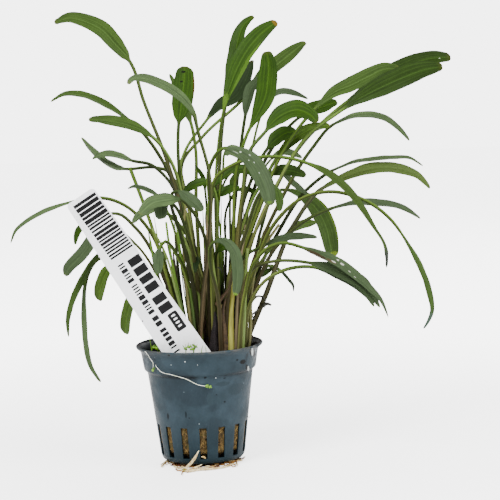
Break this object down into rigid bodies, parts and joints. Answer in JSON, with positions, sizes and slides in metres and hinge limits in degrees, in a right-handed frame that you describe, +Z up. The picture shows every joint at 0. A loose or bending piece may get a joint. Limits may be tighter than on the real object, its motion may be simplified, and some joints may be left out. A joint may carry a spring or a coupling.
{
  "type": "potted aquarium plant",
  "caption": "Tuft of long-stalked lance-shaped leaves in a slotted net pot with a rockwool plug, a leaning plant label and a root mat.",
  "frame": {"origin": "on the resting surface under the middle of the pot", "axes": "+Z up; -Y is the side that the label leans across, seen from the front with +X to the right"},
  "size_m": [0.1932, 0.12, 0.1956],
  "materials": {
    "pot_plastic": "satin",
    "rockwool": "matte",
    "label_plastic": "satin",
    "leaf_bright": "satin",
    "leaf_dark": "satin",
    "leaf_grey": "satin",
    "stalk": "satin",
    "root": "matte",
    "seedling": "satin"
  },
  "bodies": {
    "root": {"label": "label_plastic", "leaf_left_1": "leaf_bright", "leaf_left_10": "leaf_bright", "leaf_left_11": "leaf_bright", "leaf_left_12": "leaf_grey", "leaf_left_13": "leaf_dark", "leaf_left_14": "leaf_grey", "leaf_left_15": "leaf_grey", "leaf_left_16": "leaf_dark", "leaf_left_2": "leaf_dark", "leaf_left_3": "leaf_dark", "leaf_left_4": "leaf_grey", "leaf_left_5": "leaf_grey", "leaf_left_6": "leaf_dark", "leaf_left_7": "leaf_dark", "leaf_left_8": "leaf_dark", "leaf_left_9": "leaf_dark", "leaf_middle_1": "leaf_bright", "leaf_middle_10": "leaf_grey", "leaf_middle_11": "leaf_grey", "leaf_middle_12": "leaf_dark", "leaf_middle_13": "leaf_dark", "leaf_middle_14": "leaf_dark", "leaf_middle_2": "leaf_dark", "leaf_middle_3": "leaf_bright", "leaf_middle_4": "leaf_dark", "leaf_middle_5": "leaf_bright", "leaf_middle_6": "leaf_grey", "leaf_middle_7": "leaf_bright", "leaf_middle_8": "leaf_dark", "leaf_middle_9": "leaf_dark", "leaf_right_1": "leaf_bright", "leaf_right_10": "leaf_dark", "leaf_right_11": "leaf_dark", "leaf_right_12": "leaf_dark", "leaf_right_13": "leaf_dark", "leaf_right_14": "leaf_grey", "leaf_right_15": "leaf_dark", "leaf_right_16": "leaf_bright", "leaf_right_17": "leaf_grey", "leaf_right_18": "leaf_bright", "leaf_right_19": "leaf_dark", "leaf_right_2": "leaf_bright", "leaf_right_20": "leaf_grey", "leaf_right_21": "leaf_grey", "leaf_right_22": "leaf_grey", "leaf_right_3": "leaf_bright", "leaf_right_4": "leaf_dark", "leaf_right_5": "leaf_bright", "leaf_right_6": "leaf_dark", "leaf_right_7": "leaf_bright", "leaf_right_8": "leaf_dark", "leaf_right_9": "leaf_dark", "pot": "pot_plastic", "rockwool": "rockwool", "root_mat": "root", "seedling_long": "seedling", "seedling_short": "seedling", "stalk_cut": "stalk"}
  },
  "joints": []
}
